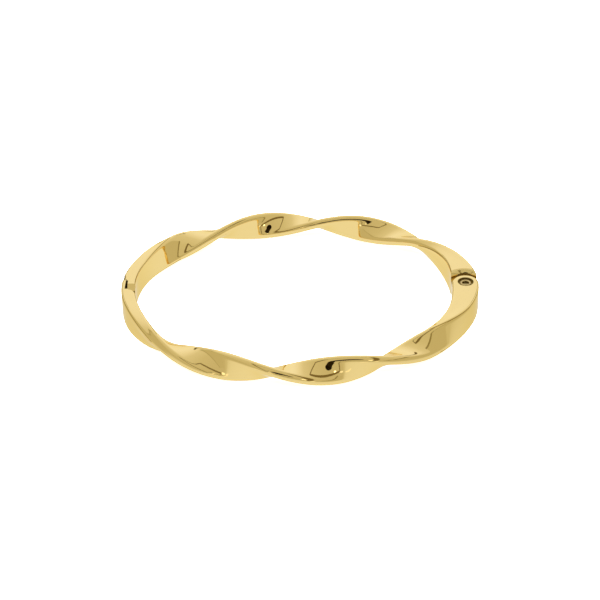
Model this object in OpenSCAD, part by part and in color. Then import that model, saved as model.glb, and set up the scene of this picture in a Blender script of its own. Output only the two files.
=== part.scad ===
// Hinged oval bangle made of two flat bars, each twisted through one and a half turns.
// The two halves are mirror images across the vertical plane through the hinge and the clasp.
// X runs from the clasp to the hinge, Y from the front half to the back half, Z is up.
// The origin is the centre of the oval, at half its height. Sizes are in millimetres.

/* [Oval] */
// Length of the oval from the middle of the bar at the clasp to the hinge pin
oval_length = 62.8; // [54:0.2:74]
// Depth of the oval between the middles of the two bars
oval_depth = 50.6; // [42:0.2:60]

/* [Bar] */
// Width of the flat bar, which is its height at the hinge and the clasp
bar_width = 5; // [4.4:0.1:6.5]
// Thickness of the bar at the clasp
clasp_thick = 2.6; // [2.4:0.1:3.4]
// Thickness of the bar along its twisted middle
middle_thick = 1.75; // [1.5:0.05:2.6]
// Thickness of the bar at the hinge
hinge_thick = 4.9; // [4.2:0.1:5.8]
// Length over which the bar thins from the clasp to its middle
clasp_taper = 31; // [20:0.5:34]
// Length over which the bar thins from the hinge to its middle
hinge_taper = 21.5; // [16:0.5:30]
// Radius of the bar's long edges at the clasp and the hinge
end_edge_r = 0.4; // [0.3:0.05:0.9]
// Radius of the bar's long edges along the twisted middle
middle_edge_r = 0.85; // [0.4:0.05:0.95]

/* [Twist] */
// Half turns that each half makes between the clasp and the hinge
half_turns = 3; // [1:1:5]
// Length at each end that stays upright before the twist begins
straight_end = 6.6; // [3:0.1:10]
// Length over which the twist then picks up to its even pitch
run_in = 15; // [5:0.5:20]

/* [Hinge] */
// How far the bar curves in from the oval at the hinge
hinge_inset = 0.4; // [0:0.05:1]
// Distance of the pin in front of the long axis of the oval
pin_forward = 0.1; // [0:0.1:1]
// Radius of the tubular pin's shank
pin_r = 0.8; // [0.7:0.05:0.9]
// Radius of the hole along the pin
pin_bore_r = 0.6; // [0.3:0.05:0.65]
// Radius of the rolled head at each end of the pin
pin_head_r = 1.05; // [0.95:0.05:1.15]
// Height of the rolled head
pin_head_h = 0.4; // [0.2:0.05:0.5]
// Depth of the head's top below the top of the ear
pin_head_drop = 0.15; // [0:0.05:0.3]
// Radius of the round sink that each pin head sits in
sink_r = 1.42; // [1.3:0.02:1.6]
// Height of the knuckle between the two ears
knuckle_h = 2.2; // [1.8:0.1:2.6]
// Gap between the knuckle and each ear
knuckle_gap = 0.08; // [0.05:0.01:0.15]
// Gap from the knuckle's round end to the floor of the slot between the ears
slot_gap = 0.65; // [0.5:0.05:1]
// Gap from the ears' round end to the hollow wall of the back half
hollow_gap = 1.25; // [0.5:0.05:1.5]
// Depth and reach of the flare at the rim of that hollow
flare = 0.75; // [0.3:0.05:1.2]
// Radial clearance of the pin in the ears
pin_seat_fit = 0.02; // [0.01:0.01:0.05]
// Radial clearance of the pin in the turning knuckle
pin_turn_fit = 0.06; // [0.04:0.01:0.1]

/* [Clasp] */
// Thickness of the lip that the front half lays over the back half
lip_thick = 0.75; // [0.6:0.05:1.1]
// Length of the lip past the long axis of the oval
lip_reach = 1.25; // [0.8:0.05:2]
// Width of the slit between the lip and the back half
slit_gap = 0.4; // [0.2:0.01:0.5]
// Gap from the lip's tip to the shoulder of the back half
shoulder_gap = 0.15; // [0.1:0.05:0.4]
// Distance of the back half's end in front of the long axis
back_end_forward = 1.2; // [0.8:0.05:1.6]
// Length of the slope at the upper and lower rims of that end
slope_reach = 1.1; // [0.5:0.05:1.4]
// Depth of that slope
slope_drop = 0.95; // [0.5:0.05:1.1]
// Open gap between the two bars on the inside of the clasp
mouth_gap = 0.65; // [0.4:0.05:1]
// Radius that rounds the front half's inner corner at the clasp
mouth_corner_r = 1.2; // [0.5:0.05:1.3]
// Length of the nail notch behind the lip's tip
notch_length = 1.6; // [1:0.1:2.5]
// Width and height of the nail notch
notch_size = 0.45; // [0.3:0.05:0.6]
// Thickness of the flat tongue of the catch
tongue_thick = 0.6; // [0.5:0.05:0.7]
// Height of the tongue
tongue_h = 2.2; // [1.6:0.1:2.4]
// Length of the tongue past the back half's end
tongue_reach = 3.2; // [2:0.1:3.6]
// Length of the tongue's root inside the back half
tongue_root = 2.2; // [1.5:0.1:3]
// Clearance of the root in its socket
root_fit = 0.03; // [0.02:0.01:0.06]
// Clearance of the tongue in the front half's pocket
pocket_fit = 0.2; // [0.18:0.01:0.3]

/* [Hidden] */
gold = [0.89, 0.76, 0.45];
$fn = 48;

// Sections along each half, and short steps around each of the bar's long edges
stations = 90;
edge_steps = 4;
// Spans across each broad face of the bar
face_spans = 3;
// How far a cutting body passes the surface that it cuts
over = 1;

semi_x = oval_length / 2;
semi_y = oval_depth / 2;
half_w = bar_width / 2;
pin_x = semi_x - hinge_inset;
pin_y = -pin_forward;

// The ears of the front half end in a half round as wide as the bar, and so does the knuckle
ear_r = hinge_thick / 2;
slot_r = ear_r + slot_gap;
hollow_r = ear_r + hollow_gap;
pin_length = bar_width - 2 * pin_head_drop;
sink_depth = pin_head_drop + pin_head_h;

// Faces of the clasp along X, from the outside of the bangle inwards, and along Y
outer_x = -semi_x - clasp_thick / 2;
inner_x = -semi_x + clasp_thick / 2;
lip_inner_x = outer_x + lip_thick;
stub_outer_x = lip_inner_x + slit_gap;
tongue_x = (stub_outer_x + inner_x) / 2;
shoulder_y = lip_reach + shoulder_gap;
back_end_y = -back_end_forward;
front_end_y = back_end_y - mouth_gap;

// Eases from 0 to 1, with no jump in slope at either end
function ease(x) = let (c = min(max(x, 0), 1)) c * c * (3 - 2 * c);

// Point of the oval's front half, from the clasp at i = 0 to the hinge at i = stations
function oval_angle(i) = 180 + 180 * i / stations;
function oval_point(i) = [semi_x * cos(oval_angle(i)), semi_y * sin(oval_angle(i))];
function outward(i) = let (v = [semi_y * cos(oval_angle(i)), semi_x * sin(oval_angle(i))]) v / norm(v);

// Length along the oval from the clasp to each station
run = [for (i = 0, s = 0; i <= stations; s = s + norm(oval_point(i + 1) - oval_point(i)), i = i + 1) s];
half_length = run[stations];

// Size of the bar and its angle of twist at a length s from the clasp
function to_hinge(s) = half_length - s;
function thick(s) = middle_thick
    + (clasp_thick - middle_thick) * (1 - ease(s / clasp_taper))
    + (hinge_thick - middle_thick) * (1 - ease(to_hinge(s) / hinge_taper));
function edge_r(s) = min(0.49 * thick(s), end_edge_r
    + (middle_edge_r - end_edge_r) * ease(min(s / clasp_taper, to_hinge(s) / hinge_taper)));

// Share of the twist that lies before s: none at first, then a gentle start and an even pitch
function wound(x) = x <= 0 ? 0 : x < run_in ? x * x / (2 * run_in) : x - run_in / 2;
twist_length = half_length - 2 * straight_end - run_in;
function twist(s) = 90 - 180 * half_turns
    * (wound(s - straight_end) - wound(s - straight_end - twist_length)) / twist_length;

// Outline of the bar: [along its width, along its thickness], anticlockwise
function bar_outline(s) = let (r = edge_r(s), w = half_w - r, t = thick(s) / 2 - r)
    [for (quarter = [0:3])
        let (side_w = (quarter == 0 || quarter == 3) ? 1 : -1,
             side_t = (quarter < 2) ? 1 : -1,
             spans = (quarter % 2 == 0) ? face_spans : 1)
        each concat(
            [for (k = [0:edge_steps])
                let (a = 90 * (quarter + k / edge_steps))
                [side_w * w + r * cos(a), side_t * t + r * sin(a)]],
            [for (j = [1:1:spans - 1])
                [side_w * w * (1 - 2 * j / spans), side_t * (t + r)]])];

// One ring of the bar at station i, moved straight on by shift along Y
function inset(s) = hinge_inset * (1 - ease(to_hinge(s) / hinge_taper));
function ring(i, shift) = let (c = oval_point(i), out = outward(i), a = twist(run[i]))
    [for (p = bar_outline(run[i]))
        let (reach = p[0] * cos(a) - p[1] * sin(a) - inset(run[i]),
             rise = p[0] * sin(a) + p[1] * cos(a))
        [c[0] + out[0] * reach, c[1] + out[1] * reach + shift, rise]];

// The twisted bar of the front half, with straight ends that reach past the oval's long axis
module bar(clasp_reach, hinge_reach) {
    rings = concat(
        [ring(0, clasp_reach)],
        [for (i = [0:stations]) ring(i, 0)],
        [ring(stations, hinge_reach)]);
    n = len(rings[0]);
    last = len(rings) - 1;
    sides = [for (j = [0:last - 1], k = [0:n - 1])
        let (a = j * n + k, b = j * n + (k + 1) % n)
        each [[a, b + n, a + n], [a, b, b + n]]];
    caps = [[for (k = [n - 1:-1:0]) k], [for (k = [0:n - 1]) last * n + k]];
    polyhedron(points = [for (r = rings) each r], faces = concat(sides, caps));
}

// What is cut away to leave a half round of radius r about the pin, on the side where Y grows
module round_end_cut(r) {
    difference() {
        translate([pin_x - hinge_thick, pin_y, -bar_width])
            cube([2 * hinge_thick, 2 * hinge_thick, 2 * bar_width]);
        translate([pin_x, pin_y, -bar_width - over])
            cylinder(r = r, h = 2 * (bar_width + over), $fn = 96);
    }
}

// Hole for the pin right through, with clearance fit
module pin_hole(fit) {
    translate([pin_x, pin_y, -half_w - over])
        cylinder(r = pin_r + fit, h = bar_width + 2 * over);
}

// Round sink for a pin head in the top of the upper ear
module pin_sink() {
    translate([pin_x, pin_y, half_w - sink_depth])
        cylinder(r = sink_r, h = sink_depth + over);
}

// Space for the knuckle between the ears
module knuckle_slot() {
    height = knuckle_h + 2 * knuckle_gap;
    translate([pin_x, pin_y, -height / 2])
        cylinder(r = slot_r, h = height, $fn = 96);
}

// Space for the upper ear in the back half, flared at the rim
module ear_hollow() {
    translate([pin_x, pin_y, knuckle_h / 2])
        cylinder(r = hollow_r, h = half_w - knuckle_h / 2 + over, $fn = 96);
    translate([pin_x, pin_y, half_w - flare])
        cylinder(r1 = hollow_r, r2 = hollow_r + 2 * flare, h = 2 * flare, $fn = 96);
}

// What is cut from the front half's end to leave the lip, with a rounded inner corner
module lip_cut() {
    depth = lip_reach - front_end_y;
    translate([0, 0, -bar_width])
        linear_extrude(2 * bar_width)
            difference() {
                translate([lip_inner_x, front_end_y - mouth_corner_r])
                    square([clasp_thick, depth + mouth_corner_r + over]);
                translate([lip_inner_x - over, front_end_y - mouth_corner_r - over])
                    square([inner_x - mouth_corner_r - lip_inner_x + over, mouth_corner_r + over]);
                translate([inner_x - mouth_corner_r, front_end_y - mouth_corner_r])
                    circle(r = mouth_corner_r);
            }
}

// Pocket in the front half's end that takes the tongue
module tongue_pocket() {
    pocket_thick = tongue_thick + 2 * pocket_fit;
    pocket_h = tongue_h + 2 * pocket_fit;
    pocket_end_y = back_end_y - tongue_reach - pocket_fit;
    translate([tongue_x - pocket_thick / 2, pocket_end_y, -pocket_h / 2])
        cube([pocket_thick, front_end_y - pocket_end_y + over, pocket_h]);
}

// Step in the outside of the back half that lies under the lip
module lip_seat() {
    translate([outer_x - over, back_end_y - over, -bar_width])
        cube([stub_outer_x - outer_x + over, shoulder_y - back_end_y + over, 2 * bar_width]);
}

// What the slope takes off the upper rim of the back half's end
module end_slope() {
    beyond = 0.5;
    translate([outer_x - over, back_end_y, half_w])
        rotate([90, 0, 90])
            linear_extrude(clasp_thick + 2 * over)
                polygon([
                    [-beyond * slope_reach, -(1 + beyond) * slope_drop],
                    [(1 + beyond) * slope_reach, beyond * slope_drop],
                    [-beyond * slope_reach, beyond * slope_drop]]);
}

// Notch for a finger nail at the upper outer edge, behind the lip's tip
module nail_notch() {
    translate([outer_x - over, shoulder_y - over, half_w - notch_size])
        cube([notch_size + over, notch_length + over, notch_size + over]);
}

// The tongue, or with fit above 0 the socket for its root
module tongue_plate(from_y, to_y, fit) {
    translate([tongue_x - tongue_thick / 2 - fit, from_y, -tongue_h / 2 - fit])
        cube([tongue_thick + 2 * fit, to_y - from_y, tongue_h + 2 * fit]);
}

// Front half: twisted bar with two ears at the hinge and a lip and pocket at the clasp
module front_half() {
    color(gold)
        difference() {
            bar(lip_reach, ear_r + over);
            round_end_cut(ear_r);
            knuckle_slot();
            pin_hole(pin_seat_fit);
            pin_sink();
            mirror([0, 0, 1])
                pin_sink();
            lip_cut();
            tongue_pocket();
        }
}

// Back half: the same bar of the opposite hand, with the knuckle, the ear hollows and the lip seat
module back_half() {
    color(gold)
        difference() {
            mirror([0, 1, 0])
                bar(back_end_forward, pin_forward + ear_r + over);
            translate([0, 2 * pin_y, 0])
                mirror([0, 1, 0])
                    round_end_cut(ear_r);
            ear_hollow();
            mirror([0, 0, 1])
                ear_hollow();
            pin_hole(pin_turn_fit);
            lip_seat();
            end_slope();
            mirror([0, 0, 1])
                end_slope();
            nail_notch();
            tongue_plate(back_end_y - over, back_end_y + tongue_root + root_fit, root_fit);
        }
}

// Tubular rivet with a rolled head at each end
module hinge_pin() {
    half = pin_length / 2;
    shank = half - pin_head_h + pin_seat_fit;
    bevel = pin_head_h / 3;
    color(gold)
        translate([pin_x, pin_y, 0])
            rotate_extrude()
                polygon([
                    [pin_bore_r, -half + bevel],
                    [pin_bore_r + bevel, -half],
                    [pin_head_r - bevel, -half],
                    [pin_head_r, -half + bevel],
                    [pin_head_r, -shank],
                    [pin_r, -shank],
                    [pin_r, shank],
                    [pin_head_r, shank],
                    [pin_head_r, half - bevel],
                    [pin_head_r - bevel, half],
                    [pin_bore_r + bevel, half],
                    [pin_bore_r, half - bevel]]);
}

// Flat tongue of the catch, pressed into the back half and held in the front half's pocket
module clasp_tongue() {
    color(gold)
        tongue_plate(back_end_y - tongue_reach, back_end_y + tongue_root, 0);
}

front_half();
back_half();
hinge_pin();
clasp_tongue();
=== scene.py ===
from math import atan2, copysign, cos, hypot, pi, radians, sin, tau

import bmesh
import bpy
from mathutils import Matrix, Vector


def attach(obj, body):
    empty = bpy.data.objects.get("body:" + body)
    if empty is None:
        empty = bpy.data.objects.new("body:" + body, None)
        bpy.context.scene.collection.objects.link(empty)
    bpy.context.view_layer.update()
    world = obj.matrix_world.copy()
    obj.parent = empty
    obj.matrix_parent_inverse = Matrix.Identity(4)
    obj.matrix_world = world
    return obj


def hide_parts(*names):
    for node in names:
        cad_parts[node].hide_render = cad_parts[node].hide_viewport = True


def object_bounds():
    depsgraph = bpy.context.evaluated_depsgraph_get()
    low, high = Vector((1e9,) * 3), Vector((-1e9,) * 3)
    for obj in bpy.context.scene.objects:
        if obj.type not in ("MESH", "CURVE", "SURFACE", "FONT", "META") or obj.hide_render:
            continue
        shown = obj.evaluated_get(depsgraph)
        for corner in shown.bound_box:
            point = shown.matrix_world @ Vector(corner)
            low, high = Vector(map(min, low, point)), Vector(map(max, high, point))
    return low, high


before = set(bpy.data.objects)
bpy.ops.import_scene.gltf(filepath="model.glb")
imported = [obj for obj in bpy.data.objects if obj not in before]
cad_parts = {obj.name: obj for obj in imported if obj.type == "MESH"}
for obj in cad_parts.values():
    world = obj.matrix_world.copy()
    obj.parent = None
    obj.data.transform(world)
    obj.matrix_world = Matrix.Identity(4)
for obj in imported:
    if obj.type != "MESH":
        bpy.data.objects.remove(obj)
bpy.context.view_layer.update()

# The two bars. Each is a flat strip of brass with rounded edges, thicker at its ends, twisted through one and
# a half turns, bent to half an oval, polished like a mirror and plated with yellow gold.
# The bangle's lengths are in millimetres until a finished mesh is brought to metres.
semi_x, semi_y = 31.4, 25.3
half_width = 2.5
clasp_thick, middle_thick, hinge_thick = 2.6, 1.75, 4.9
clasp_taper, hinge_taper = 31, 21.5
end_edge, middle_edge, edge_limit = 0.4, 0.85, 0.98
straight_end, run_in = 6.6, 15
turns = 1.5
hinge_inset = 0.4

arc_steps = 2000
arc = [0.0]
for i in range(arc_steps):
    angle = pi + pi * (i + 0.5) / arc_steps
    arc.append(arc[-1] + hypot(semi_x * sin(angle), semi_y * cos(angle)) * pi / arc_steps)
half_length = arc[-1]
twist_length = half_length - 2 * straight_end - run_in

# Each bar starts as a blank 2 long, 2 wide and 2 thick. Its long edges are rounded to blank_corner, and a
# small share of it at each end, the tail, becomes the straight end. Its faces get lines along and across, and
# each of face_lines is a direction, a spacing and the number of lines on each side of the middle.
blank_corner, corner_steps = 0.5, 7
face_lines = ((Vector((0, 0, 1)), 0.11, 4), (Vector((0, 1, 0)), 0.22, 1))
length_cuts = 440
tail = 0.01
crest_from, crest_half = 0.55, radians(7)


def ease(x):
    """Goes from 0 to 1 as x does, gently at both ends."""
    c = min(max(x, 0), 1)
    return c * c * (3 - 2 * c)


def wound(x):
    """The twist picks up gently over run_in and is even after it."""
    return 0 if x <= 0 else x * x / (2 * run_in) if x < run_in else x - run_in / 2


def bent(share, across, through):
    """Where a point of the blank lands. share runs from the clasp, 0, to the hinge, 1. across and through are
    its places on the blank's section."""
    step = share * arc_steps
    i = min(int(step), arc_steps - 1)
    along = arc[i] + (arc[i + 1] - arc[i]) * (step - i)
    to_hinge = half_length - along
    near_clasp, near_hinge = 1 - ease(along / clasp_taper), 1 - ease(to_hinge / hinge_taper)
    half_thick = (
        middle_thick + (clasp_thick - middle_thick) * near_clasp + (hinge_thick - middle_thick) * near_hinge
    ) / 2
    edge = end_edge + (middle_edge - end_edge) * ease(min(along / clasp_taper, to_hinge / hinge_taper))
    edge = min(edge, edge_limit * half_thick)

    def placed(c, half):
        """Where c lands when the flat and the corner of the blank each get their real length."""
        flat, past_flat = 1 - blank_corner, abs(c) + blank_corner - 1
        if past_flat <= 0:
            return c / flat * (half - edge)
        return copysign(half - edge + past_flat / blank_corner * edge, c)

    a, b = placed(across, half_width), placed(through, half_thick)
    turned_length = wound(along - straight_end) - wound(along - straight_end - twist_length)
    twist = pi / 2 - turns * tau * turned_length / twist_length
    out = a * cos(twist) - b * sin(twist) - hinge_inset * near_hinge
    angle = pi * (1 + share)
    normal = Vector((semi_y * cos(angle), semi_x * sin(angle))).normalized()
    return (
        semi_x * cos(angle) + normal.x * out,
        semi_y * sin(angle) + normal.y * out,
        a * sin(twist) + b * cos(twist),
    )


def outward(bm):
    """The same shape with its faces pointing outwards."""
    bmesh.ops.recalc_face_normals(bm, faces=bm.faces)
    if bm.calc_volume(signed=True) < 0:
        bmesh.ops.reverse_faces(bm, faces=bm.faces)
    return bm


def rounded(bm, edges, radius, steps):
    """Rounds these edges of a shape."""
    bmesh.ops.bevel(bm, geom=edges, offset=radius, segments=steps, profile=0.5, affect="EDGES", material=-1)


def long_edges(bm):
    """The edges that run along the blank."""
    return [e for e in bm.edges if abs(e.verts[0].co.x - e.verts[1].co.x) > 1]


def twisted_bar(clasp_reach, hinge_reach):
    """The front bar, whose straight ends reach this far past the oval's long axis."""
    bm = bmesh.new()
    bmesh.ops.create_cube(bm, size=2)
    rounded(bm, long_edges(bm), blank_corner, corner_steps)
    for axis, spacing, most in face_lines:
        for k in range(-most, most + 1):
            geom = [*bm.verts, *bm.edges, *bm.faces]
            bmesh.ops.bisect_plane(bm, geom=geom, dist=1e-6, plane_co=axis * (spacing * k), plane_no=axis)
    bmesh.ops.subdivide_edges(bm, edges=long_edges(bm), cuts=length_cuts, use_grid_fill=True)
    # Near both ends the crest of each rounded edge gets darker gold, a painted dark reflection line along the
    # edge.
    for face in bm.faces:
        place = face.calc_center_median()
        a, b = abs(place.z) + blank_corner - 1, abs(place.y) + blank_corner - 1
        if abs(place.x) > crest_from and a > 0 and b > 0 and abs(atan2(b, a) - pi / 4) < crest_half:
            face.material_index = 1
    for v in bm.verts:
        place = (v.co.x + 1) / 2
        share = min(max((place - tail) / (1 - 2 * tail), 0), 1)
        straight = clasp_reach * max(0, 1 - place / tail) + hinge_reach * max(0, (place - 1) / tail + 1)
        x, y, z = bent(share, v.co.z, v.co.y)
        v.co = (x, y + straight, z)
    return outward(bm)


# The bars' ends, which are duller where they are sawn and drilled, and darker there with painted shade in the
# cuts and recesses. At the hinge the front bar is sawn into two round ears, each with a sink for a head of
# the pin.
# The back bar has one knuckle, between two scooped hollows that the ears turn in. The saw has cut a steeper
# wall into the middle of each hollow, and its darker colour is painted shade in the gap behind each ear.
pin_x, pin_y, pin_r = 31.0, -0.1, 0.8
ear_r, ear_edge = hinge_thick / 2, 0.45
slot_r, slot_half = 3.1, 1.18
ear_play, knuckle_play = 0.02, 0.06
sink_r, sink_floor, sink_rim = 1.42, half_width - 0.55, 0.08
knuckle_half, hollow_gap = 1.1, 1.15
saw_wall_r, saw_wall_back, saw_wall_low, saw_wall_high = 2.6, 1.2, 1.09, 2.02
# At the clasp the front bar's lip lies over a step in the outside of the back bar. The back bar slopes off to
# its end and has a small scoop for a finger nail. The tongue has a seat in it and a pocket in the front bar.
outer_x, inner_x = -semi_x - clasp_thick / 2, -semi_x + clasp_thick / 2
lip_x, stub_x = outer_x + 0.75, outer_x + 1.15
lip_tip, lip_play = 1.25, 0.1
shoulder = 1.4
stub_root, nail_start = shoulder - 0.4, shoulder - 0.2
back_end, front_end = -1.2, -1.85
slope_reach, slope_drop = 1.1, 0.95
inner_corner_r, inner_corner_edge = 1.2, 0.3
lip_corner_r, lip_corner_edge = 0.6, 0.25
scoop_radii, scoop_place = (0.65, 1.15, 0.5), (outer_x + 0.05, shoulder + 0.45, half_width)
nail_width, nail_length, nail_depth = 0.5, 1.5, 0.55
tongue_x = (stub_x + inner_x) / 2
tongue_half_thick, tongue_half_width = 0.3, 1.1
tongue_out, tongue_in = 3.2, 2.2
pocket_play, seat_play = 0.2, 0.03
# A cutter reaches past what it cuts: spare past its side, and clear above and below the middle of the bar.
spare, clear = 1, 4
round_steps, bore_steps = 96, 48


def mirrored(bm, y):
    """The same shape, mirrored across the upright plane at y."""
    flip = Matrix.Translation((0, 2 * y, 0)) @ Matrix.Scale(-1, 4, (0, 1, 0))
    bmesh.ops.transform(bm, verts=bm.verts, matrix=flip)
    return outward(bm)


def turned(profile, x=pin_x, y=pin_y, start=0.0, turn=tau, steps=round_steps):
    """A shape turned about an upright axis, the pin's or another, from an outline of [radius, height] points.
    A full turn needs no cap faces, and its outline may start and end on the axis."""
    bm = bmesh.new()
    corners = [bm.verts.new((r * cos(start), r * sin(start), z)) for r, z in profile]
    full = turn >= tau
    if full:
        pairs = list(zip(corners, corners[1:]))
        if profile[0][0] > 0:
            pairs.append((corners[-1], corners[0]))
        geom = corners + [bm.edges.new(pair) for pair in pairs]
    else:
        face = bm.faces.new(corners)
        geom = [face, *face.edges, *face.verts]
    bmesh.ops.spin(bm, geom=geom, cent=(0, 0, 0), axis=(0, 0, 1), angle=turn, steps=steps, use_merge=full)
    bmesh.ops.remove_doubles(bm, verts=bm.verts, dist=1e-5)
    bmesh.ops.translate(bm, verts=bm.verts, vec=(x, y, 0))
    return outward(bm)


def drum(radius, low=-clear, high=clear, back=0, steps=round_steps):
    """A plain round cutter on the pin's axis, or this far behind it."""
    return turned([(0, low), (radius, low), (radius, high), (0, high)], y=pin_y + back, steps=steps)


def rounding(radius, edge, x, y, start, turn, reach):
    """A cutter that rounds an upright end to a radius, and softens its rims by edge."""
    low = [
        (radius - edge + edge * sin(radians(a)), edge - half_width - edge * cos(radians(a)))
        for a in range(10, 91, 10)
    ]
    high = [(r, -z) for r, z in reversed(low)]
    ends = [(high[-1][0], clear), (radius + reach, clear), (radius + reach, -clear)]
    profile = [(low[0][0], -clear), *low, *high, *ends]
    return turned(profile, x, y, start, turn, steps=round(round_steps * turn / tau))


def ear_rounding():
    """A cutter that rounds the hinge end of the front bar."""
    return rounding(ear_r, ear_edge, pin_x, pin_y, start=0, turn=pi, reach=3)


def corner_rounding(radius, edge, corner_x, corner_y, side):
    """A cutter that rounds an upright corner of the front bar at the clasp. side is 1 for a corner on the
    inside of the bangle, and -1 for one on the outside."""
    start = 0 if side > 0 else pi / 2
    return rounding(radius, edge, corner_x - side * radius, corner_y - radius, start, turn=pi / 2, reach=1.5)


def hollow(radius, floor, rim, up):
    """A cutter for a round hollow with a softened rim, on the pin's axis. It is open at the top, or at the
    bottom with up=-1."""
    curve = [
        (radius + rim - rim * cos(radians(a)), half_width - rim + rim * sin(radians(a)))
        for a in range(0, 81, 10)
    ]
    profile = [(0, floor), (radius, floor), *curve, (curve[-1][0], clear), (0, clear)]
    return turned([(r, up * z) for r, z in profile])


def block(low, high):
    """A box between two corners."""
    bm = bmesh.new()
    bmesh.ops.create_cube(bm, size=1)
    bmesh.ops.scale(bm, verts=bm.verts, vec=Vector(high) - Vector(low))
    bmesh.ops.translate(bm, verts=bm.verts, vec=(Vector(high) + Vector(low)) / 2)
    return bm


def tongue_block(low_y, high_y, play=0):
    """A block as wide and thick as the tongue, and this much larger on each side."""
    half_x, half_z = tongue_half_thick + play, tongue_half_width + play
    return block((tongue_x - half_x, low_y, -half_z), (tongue_x + half_x, high_y, half_z))


def slope(up):
    """A cutter that slopes the upper rim of the back bar's end, or with up=-1 its lower rim."""
    size = 3
    bm = block((outer_x - spare, -size, 0), (inner_x + spare, size, size))
    tilt = Matrix.Rotation(atan2(slope_drop, slope_reach), 3, "X")
    bmesh.ops.rotate(bm, verts=bm.verts, cent=(0, 0, 0), matrix=tilt)
    bmesh.ops.translate(bm, verts=bm.verts, vec=(0, back_end, half_width - slope_drop))
    bmesh.ops.scale(bm, verts=bm.verts, vec=(1, 1, up))
    return outward(bm)


def gold(name, colour, deep, rough):
    """Gold plate: a faint drift of colour, and fine polishing marks that soften the gloss unevenly."""
    mat = bpy.data.materials.new(name)
    mat.use_nodes = True
    nodes, link = mat.node_tree.nodes, mat.node_tree.links.new
    shader = nodes["Principled BSDF"]
    shader.inputs["Metallic"].default_value = 1
    shader.inputs["Specular Tint"].default_value = (0.95, 0.85, 0.58, 1)
    place = nodes.new("ShaderNodeTexCoord")
    drift = nodes.new("ShaderNodeTexNoise")
    drift.inputs["Scale"].default_value = 90
    drift.inputs["Detail"].default_value = 3
    tint = nodes.new("ShaderNodeMix")
    tint.data_type = "RGBA"
    tint.inputs["A"].default_value = (*colour, 1)
    tint.inputs["B"].default_value = (*deep, 1)
    marks = nodes.new("ShaderNodeTexNoise")
    marks.inputs["Scale"].default_value = 900
    marks.inputs["Detail"].default_value = 5
    gloss = nodes.new("ShaderNodeMapRange")
    gloss.inputs["To Min"].default_value = rough * 0.6
    gloss.inputs["To Max"].default_value = rough * 1.5
    bump = nodes.new("ShaderNodeBump")
    bump.inputs["Strength"].default_value = 0.03
    bump.inputs["Distance"].default_value = 0.00002
    link(place.outputs["Object"], drift.inputs["Vector"])
    link(place.outputs["Object"], marks.inputs["Vector"])
    link(drift.outputs["Fac"], tint.inputs["Factor"])
    link(tint.outputs["Result"], shader.inputs["Base Color"])
    link(marks.outputs["Fac"], gloss.inputs["Value"])
    link(gloss.outputs["Result"], shader.inputs["Roughness"])
    link(marks.outputs["Fac"], bump.inputs["Height"])
    link(bump.outputs["Normal"], shader.inputs["Normal"])
    return mat


millimetre = 0.001
sharp_from = radians(28)


def carved(name, bm, finishes, cuts=()):
    """The object that is left when the cuts are taken out of bm, brought to metres. Each cut is a shape and
    the finish of the faces that it leaves."""
    def held(label, shape, skins):
        """An object made of a shape, with these finishes."""
        mesh = bpy.data.meshes.new(label)
        shape.to_mesh(mesh)
        shape.free()
        for skin in skins:
            mesh.materials.append(skin)
        made = bpy.data.objects.new(label, mesh)
        bpy.context.collection.objects.link(made)
        return made

    body = held(name, bm, finishes)
    tools = [held("cutter", shape, (skin,)) for shape, skin in cuts]
    for tool in tools:
        cut = body.modifiers.new("cut", "BOOLEAN")
        cut.operation = "DIFFERENCE"
        cut.solver = "EXACT"
        cut.material_mode = "TRANSFER"
        cut.object = tool
    left = bpy.data.meshes.new_from_object(body.evaluated_get(bpy.context.evaluated_depsgraph_get()))
    left.name = name
    body.modifiers.clear()
    body.data = left
    for tool in tools:
        bpy.data.objects.remove(tool)
    left.transform(Matrix.Scale(millimetre, 4))
    left.shade_smooth()
    left.set_sharp_from_angle(angle=sharp_from)
    return body


nail_scoop = bmesh.new()
bmesh.ops.create_uvsphere(nail_scoop, u_segments=32, v_segments=24, radius=1)
bmesh.ops.scale(nail_scoop, verts=nail_scoop.verts, vec=scoop_radii)
bmesh.ops.translate(nail_scoop, verts=nail_scoop.verts, vec=scoop_place)
nail_low = (outer_x - spare, nail_start, half_width - nail_depth)
nail_high = (outer_x + nail_width, shoulder + nail_length, clear)

polished = gold("polished_gold", (0.96, 0.72, 0.28), (0.94, 0.70, 0.26), 0.05)
# Darker gold for the crests of the edges near the ends: a painted dark reflection line.
edge_reflection = gold("painted_edge_reflection", (0.52, 0.34, 0.07), (0.47, 0.30, 0.06), 0.2)
# Duller, rougher gold for the cut faces, darker than the plating as painted shade in the cuts and recesses.
sawn_and_shaded = gold("sawn_gold_and_painted_shade", (0.50, 0.40, 0.17), (0.42, 0.33, 0.13), 0.35)
filed = gold("filed_gold", (0.93, 0.72, 0.29), (0.90, 0.69, 0.27), 0.13)
# Almost black gold for the inside of the pin's bore: painted shade in the hole.
bore_shade = gold("painted_bore_shade", (0.20, 0.12, 0.03), (0.15, 0.09, 0.02), 0.5)
front = carved(
    "front_bar",
    twisted_bar(lip_tip, ear_r + spare),
    (polished, edge_reflection),
    [
        (ear_rounding(), polished),
        (drum(slot_r, -slot_half, slot_half), sawn_and_shaded),
        (drum(pin_r + ear_play, steps=bore_steps), sawn_and_shaded),
        (hollow(sink_r, sink_floor, sink_rim, up=1), sawn_and_shaded),
        (hollow(sink_r, sink_floor, sink_rim, up=-1), sawn_and_shaded),
        (block((lip_x, front_end, -clear), (inner_x + spare, lip_tip + spare, clear)), sawn_and_shaded),
        (corner_rounding(inner_corner_r, inner_corner_edge, inner_x, front_end, side=1), polished),
        (corner_rounding(lip_corner_r, lip_corner_edge, outer_x, lip_tip, side=-1), polished),
        (tongue_block(back_end - tongue_out - pocket_play, front_end + spare, pocket_play), sawn_and_shaded),
    ],
)
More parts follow.
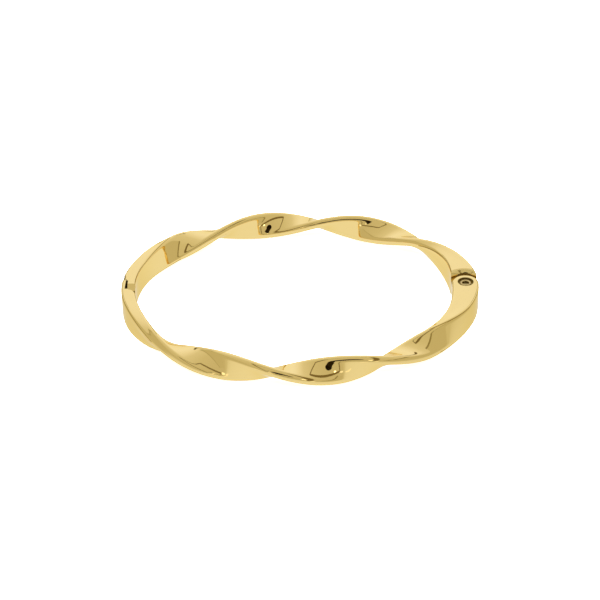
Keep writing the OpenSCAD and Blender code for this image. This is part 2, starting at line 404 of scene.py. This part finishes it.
back = carved(
    "back_bar",
    mirrored(twisted_bar(-back_end, ear_r + spare), 0),
    (polished, edge_reflection),
    [
        (mirrored(ear_rounding(), pin_y), polished),
        (hollow(ear_r + hollow_gap, knuckle_half, hollow_gap, up=1), filed),
        (hollow(ear_r + hollow_gap, knuckle_half, hollow_gap, up=-1), filed),
        (drum(saw_wall_r, saw_wall_low, saw_wall_high, saw_wall_back), sawn_and_shaded),
        (drum(saw_wall_r, -saw_wall_high, -saw_wall_low, saw_wall_back), sawn_and_shaded),
        (drum(pin_r + knuckle_play, steps=bore_steps), sawn_and_shaded),
        (block((outer_x - spare, back_end - spare, -clear), (stub_x, stub_root, clear)), sawn_and_shaded),
        (block((outer_x - spare, shoulder - spare, -clear), (lip_x + lip_play, shoulder, clear)), sawn_and_shaded),
        (slope(up=1), polished),
        (slope(up=-1), polished),
        (nail_scoop, polished),
        (block(nail_low, nail_high), sawn_and_shaded),
        (tongue_block(back_end - spare, back_end + tongue_in + seat_play, seat_play), sawn_and_shaded),
    ],
)
for bar, node, body in ((front, "front_half", "front"), (back, "back_half", "back")):
    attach(bar, body)
    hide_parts(node)

# The hinge pin. It is a short brass tube through the ears and the knuckle, and both ends are rolled over into
# round heads that sit in the ears' sinks. The inside of the tube is painted almost black as shade.
head_top, head_r, bore_r = half_width - 0.15, 1.05, 0.6
head_low, roll_r = head_top - 0.38, 0.2
pin_steps = 64
roll_middle, roll_half = (head_r + bore_r) / 2, (head_r - bore_r) / 2
rolled = [
    (roll_middle + roll_half * cos(radians(a)), head_top - roll_r + roll_r * sin(radians(a)))
    for a in range(0, 181, 15)
]
upper = [(pin_r, head_low), (head_r, head_low), *rolled, (bore_r - 0.1, head_top - roll_r)]
fitting = gold("fitting_gold", (0.74, 0.56, 0.24), (0.62, 0.46, 0.19), 0.25)
pin = carved(
    "hinge_pin_tube",
    turned([*upper, *[(r, -z) for r, z in reversed(upper)]], steps=pin_steps),
    (fitting,),
    [(drum(bore_r, steps=pin_steps), bore_shade)],
)
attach(pin, "front")
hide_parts("hinge_pin")

# The clasp's tongue. It is a flat brass plate fixed in the back bar's end, rounded at the tip that snaps into
# the front bar.
tip_r, tip_steps = 0.7, 8
rim_r, rim_steps = 0.06, 2
plate = tongue_block(back_end - tongue_out, back_end + tongue_in)
tip_edges = [
    e for e in plate.edges if abs(e.verts[0].co.x - e.verts[1].co.x) > 0.1 and e.verts[0].co.y < front_end
]
rounded(plate, tip_edges, tip_r, tip_steps)
rims = [e for e in plate.edges if e.calc_face_angle(0) > radians(60)]
rounded(plate, rims, rim_r, rim_steps)
tongue = carved("tongue_plate", plate, (fitting,))
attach(tongue, "back")
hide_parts("clasp_tongue")

# The white table that the bangle lies on, in metres like all of the room. The camera sees a sheet that glows
# a little and so shows almost no shadow, as in the photo. The gold mirrors a second sheet in the same place,
# which is bright under the bangle and falls off around it.
floor_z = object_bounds()[0].z
table_r = 1.5
pool_middle, pool_shape = (0, 0.01, floor_z), (1.5, 1, 1)
bright_to, dim_from = 0.035, 0.085


def room_thing(name, bm):
    """An object of the room, which isn't part of the bangle, and the node tree of its material."""
    mesh = bpy.data.meshes.new(name)
    bm.to_mesh(mesh)
    bm.free()
    made = bpy.data.objects.new(name, mesh)
    bpy.context.collection.objects.link(made)
    skin = bpy.data.materials.new(name)
    skin.use_nodes = True
    mesh.materials.append(skin)
    return made, skin.node_tree


def sheet(name):
    """A round sheet on the floor."""
    bm = bmesh.new()
    bmesh.ops.create_circle(bm, cap_ends=True, segments=96, radius=table_r)
    bmesh.ops.translate(bm, verts=bm.verts, vec=(0, 0, floor_z))
    return room_thing(name, bm)


def only_mirrored(made, tree):
    """Lets only the gold see an object of the room, and makes it glow. It gives the socket of its colour."""
    made.visible_camera = made.visible_diffuse = made.visible_shadow = False
    shader = tree.nodes["Principled BSDF"]
    shader.inputs["Base Color"].default_value = (0, 0, 0, 1)
    shader.inputs["Specular IOR Level"].default_value = 0
    shader.inputs["Emission Strength"].default_value = 1
    return shader.inputs["Emission Color"]


table, paper = sheet("table_top")
table.visible_glossy = False
paper_shader = paper.nodes["Principled BSDF"]
paper_shader.inputs["Base Color"].default_value = (0.95, 0.95, 0.95, 1)
paper_shader.inputs["Roughness"].default_value = 0.9
paper_shader.inputs["Emission Color"].default_value = (1, 1, 1, 1)
paper_shader.inputs["Emission Strength"].default_value = 0.6

mirrored_table, shine = sheet("mirrored_table")
table_glow = only_mirrored(mirrored_table, shine)
spot = shine.nodes.new("ShaderNodeTexCoord")
away = shine.nodes.new("ShaderNodeVectorMath")
away.operation = "DISTANCE"
away.inputs[1].default_value = pool_middle
stretch = shine.nodes.new("ShaderNodeVectorMath")
stretch.operation = "MULTIPLY"
stretch.inputs[1].default_value = pool_shape
reach = shine.nodes.new("ShaderNodeMapRange")
reach.inputs["From Min"].default_value, reach.inputs["From Max"].default_value = bright_to, dim_from
fall = shine.nodes.new("ShaderNodeMix")
fall.data_type = "RGBA"
fall.inputs["A"].default_value = (0.90, 0.93, 1.00, 1)
fall.inputs["B"].default_value = (0.65, 0.64, 0.56, 1)
shine.links.new(spot.outputs["Object"], stretch.inputs[0])
shine.links.new(stretch.outputs["Vector"], away.inputs[0])
shine.links.new(away.outputs["Value"], reach.inputs["Value"])
shine.links.new(reach.outputs["Result"], fall.inputs["Factor"])
shine.links.new(fall.outputs["Result"], table_glow)

# The white tent over the table. Its back wall is the brightest, and its light falls off over the roof to the
# front. It is all around, so it is the world's colour and has no mesh.
world = bpy.data.worlds.new("white_tent")
bpy.context.scene.world = world
world.use_nodes = True
tent_nodes, tent_link = world.node_tree.nodes, world.node_tree.links.new
toward = tent_nodes.new("ShaderNodeTexCoord")
parts = tent_nodes.new("ShaderNodeSeparateXYZ")
share = tent_nodes.new("ShaderNodeMapRange")
share.inputs["From Min"].default_value = -1
wall = tent_nodes.new("ShaderNodeValToRGB")
for place, colour in (
    (0.0, (0.60, 0.58, 0.50)),
    (0.5, (0.66, 0.65, 0.58)),
    (0.75, (0.75, 0.75, 0.74)),
    (0.85, (0.88, 0.90, 1.00)),
    (0.95, (0.97, 1.03, 1.30)),
):
    stop = wall.color_ramp.elements.new(place)
    stop.color = (*colour, 1)
wall.color_ramp.elements.remove(wall.color_ramp.elements[0])
wall.color_ramp.elements.remove(wall.color_ramp.elements[-1])
tent_link(toward.outputs["Generated"], parts.inputs["Vector"])
tent_link(parts.outputs["Y"], share.inputs["Value"])
tent_link(share.outputs["Result"], wall.inputs["Fac"])
tent_link(wall.outputs["Color"], tent_nodes["Background"].inputs["Color"])

# The lamp over the tent. The cloth spreads its light over the whole table, so the lamp itself doesn't show in
# the gold.
lamp = bpy.data.lights.new("top_lamp", "AREA")
lamp.shape = "DISK"
lamp.size = 2.4
lamp.energy = 70
top_lamp = bpy.data.objects.new("top_lamp", lamp)
bpy.context.collection.objects.link(top_lamp)
top_lamp.location = (0, 0, 1.2)
top_lamp.visible_glossy = False

# The camera. It stands where the photo was taken from, in front and 33 degrees up, with a long lens. It is
# turned and shifted a little, as the photo's frame is.
view_up, view_side, view_roll = radians(32.947), radians(-1.593), radians(-1.205)
distance = 0.35185
eye = distance * Vector((-cos(view_up) * sin(view_side), -cos(view_up) * cos(view_side), sin(view_up)))
lens = bpy.data.cameras.new("photo_camera")
lens.sensor_width = 36
lens.lens = 113.67
lens.shift_x, lens.shift_y = 0.0034, -0.0107
lens.clip_start, lens.clip_end = 0.01, 10
camera = bpy.data.objects.new("photo_camera", lens)
bpy.context.collection.objects.link(camera)
aim = (-eye).to_track_quat("-Z", "Y").to_matrix().to_4x4()
camera.matrix_world = Matrix.Translation(eye) @ aim @ Matrix.Rotation(view_roll, 4, "Z")
bpy.context.scene.camera = camera
bpy.context.scene.view_settings.view_transform = "Standard"

# What the polished gold mirrors of the room. The tent has two side walls of cloth, dark seams round the
# opening in its front, and dark corners at the back. In the opening are the black lens and the camera's body,
# and on each side stands a strip light, which glints on the table.
wall_front, front_top = -0.36, 0.11
wall_shade, seam_shade, corner_shade = (0.58, 0.56, 0.46), (0.20, 0.16, 0.07), (0.18, 0.14, 0.06)
lens_r, lens_place = 0.066, (0.01, 0.05, 0.02)


def mirrored_thing(name, bm, shade):
    """An object of the room that glows in this shade, and that only the gold sees."""
    made, tree = room_thing(name, bm)
    only_mirrored(made, tree).default_value = (*shade, 1)


def rod(start, end, wide):
    """A thin square rod between two points."""
    start, end = Vector(start), Vector(end)
    bm = bmesh.new()
    bmesh.ops.create_cube(bm, size=1)
    bmesh.ops.scale(bm, verts=bm.verts, vec=(wide, wide, (end - start).length))
    turn = (end - start).to_track_quat("Z", "Y").to_matrix().to_4x4()
    bmesh.ops.transform(bm, verts=bm.verts, matrix=Matrix.Translation((start + end) / 2) @ turn)
    return bm


# A side wall's upper edge, with its seam, slopes down to the front.
for side, wall_x, wall_back, back_top, seam_width, top_shade in (
    ("left", -0.25, 0.24, 0.29, 0.01, (0.45, 0.42, 0.30)),
    ("right", 0.25, 0.09, 0.245, 0.022, (0.3, 0.27, 0.15)),
):
    cloth = bmesh.new()
    bmesh.ops.create_grid(cloth, x_segments=1, y_segments=1, size=0.5)
    for v in cloth.verts:
        back, up = v.co.x + 0.5, v.co.y + 0.5
        top = front_top + (back_top - front_top) * back
        v.co = (wall_x, wall_front + (wall_back - wall_front) * back, up * top)
    mirrored_thing(side + "_wall", cloth, wall_shade)
    top_seam = rod((wall_x, wall_front, front_top), (wall_x, wall_back, back_top), seam_width)
    mirrored_thing(side + "_wall_seam", top_seam, top_shade)

glass = bmesh.new()
bmesh.ops.create_circle(glass, cap_ends=True, segments=48, radius=lens_r)
bmesh.ops.transform(glass, verts=glass.verts, matrix=camera.matrix_world @ Matrix.Translation(lens_place))
mirrored_thing("black_lens", glass, (0.01, 0.006, 0.002))
mirrored_thing("camera_body", rod((0.0, -0.27, 0.225), (-0.065, -0.31, 0.16), 0.07), (0.02, 0.013, 0.005))

opening = ((-0.11, -0.075, 0.35), (0.106, 0.06, 0.35), (0.14, -0.35, 0.06), (-0.125, -0.35, 0.06))
for k, seam_width in enumerate((0.015, 0.016, 0.024, 0.014)):
    mirrored_thing("opening_seam_%d" % k, rod(opening[k], opening[k - 1], seam_width), seam_shade)

# Each row is a rod's name, its two ends, its thickness and its shade. left_fold is the foot of the left wall.
for name, start, end, wide, shade in (
    ("left_back_corner", (-0.14, 0.24, 0), (-0.14, 0.24, 0.2), 0.024, corner_shade),
    ("right_back_corner", (0.13, 0.24, 0), (0.13, 0.24, 0.2), 0.024, corner_shade),
    ("left_fold", (-0.248, -0.36, 0.012), (-0.248, 0.1, 0.012), 0.03, (0.60, 0.58, 0.49)),
    ("right_lamp", (0.136, -0.348, 0.14), (0.136, -0.348, 0.17), 0.028, (3, 3, 3)),
    ("right_glow", (0.15, -0.34, 0.1), (0.15, -0.34, 0.0), 0.02, (1.2, 1.2, 1.2)),
    ("right_glint", (0.0122, -0.0312, floor_z), (0.0165, -0.041, floor_z), 0.0007, (1.1, 1.1, 1.1)),
    ("left_lamp", (-0.1, -0.34, 0.15), (-0.1, -0.34, 0.165), 0.015, (1.6, 1.6, 1.6)),
    ("left_glow", (-0.128, -0.34, 0.05), (-0.112, -0.34, 0.0), 0.026, (1.4, 1.4, 1.4)),
    ("left_glint", (-0.0150, -0.0345, floor_z), (-0.022, -0.055, floor_z), 0.0012, (1.1, 1.1, 1.1)),
):
    mirrored_thing(name, rod(start, end, wide), shade)
